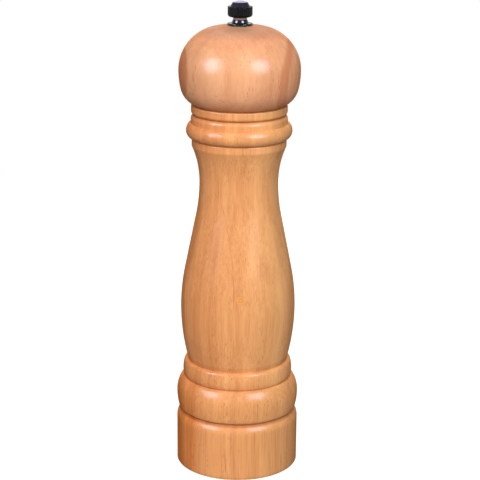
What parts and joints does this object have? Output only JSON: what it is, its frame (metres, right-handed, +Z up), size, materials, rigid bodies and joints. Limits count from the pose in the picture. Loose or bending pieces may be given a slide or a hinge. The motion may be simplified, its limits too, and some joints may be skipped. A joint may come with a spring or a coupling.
{
  "type": "pepper mill",
  "caption": "Tall turned wooden pepper mill with a beaded base, a ball-shaped turning head, a black knurled grind-setting knob and a conical burr grinder in its base.",
  "frame": {"origin": "centre of the foot's underside, on the mill's axis, where it stands on the table", "axes": "+Z up along the mill's axis; +X to the right and -Y towards the viewer as pictured; the mill is round, so X and Y are the directions of the drive plate's screws and of one spoke's window"},
  "size_m": [0.06, 0.06, 0.2291],
  "materials": {
    "body_wood": "satin lacquer",
    "head_wood": "satin lacquer",
    "black_plastic": "gloss, moulded",
    "housing_plastic": "fine matt, moulded",
    "natural_nylon": "natural, moulded",
    "burr_ceramic": "fired, unglazed",
    "shaft_aluminium": "drawn",
    "zinc_steel": "zinc plated",
    "spring_steel": "drawn wire",
    "thread_brass": "turned"
  },
  "bodies": {
    "mill_body": {"mill_body": "body_wood", "grinder_housing": "housing_plastic", "housing_screws": "zinc_steel", "stator": "burr_ceramic", "stator_retaining_ring": "housing_plastic"},
    "spinner": {"shaft_bush": "natural_nylon", "rotor_spring": "spring_steel"},
    "shaft": {"drive_shaft": "shaft_aluminium", "rotor": "burr_ceramic", "rotor_hub": "housing_plastic", "rotor_washer": "zinc_steel", "retaining_clip": "spring_steel"},
    "head": {"mill_head": "head_wood", "head_collar": "black_plastic", "drive_plate": "zinc_steel", "drive_plate_screws": "zinc_steel"},
    "knob": {"adjusting_knob": "black_plastic", "knob_insert": "thread_brass"}
  },
  "joints": [
    {"name": "head_turn", "type": "hinge", "parent": "mill_body", "child": "spinner", "pos_m": [0, 0, 0.0259], "axis": [0, 0, 1], "continuous": true},
    {"name": "grind_adjust", "type": "slide", "parent": "spinner", "child": "shaft", "axis": [0, 0, 1], "range_m": [0, 0.001], "deforming": ["rotor_spring"]},
    {"name": "head_lift", "type": "slide", "parent": "spinner", "child": "head", "axis": [0, 0, 1], "range_m": [0, 0.06]},
    {"name": "knob_turn", "type": "hinge", "parent": "head", "child": "knob", "pos_m": [0, 0, 0.224], "axis": [0, 0, -1], "range_deg": [0, 450]}
  ],
  "couplings": [
    {"joint": "knob_turn", "follows": "grind_adjust", "rad_per_m": 7853.9}
  ]
}
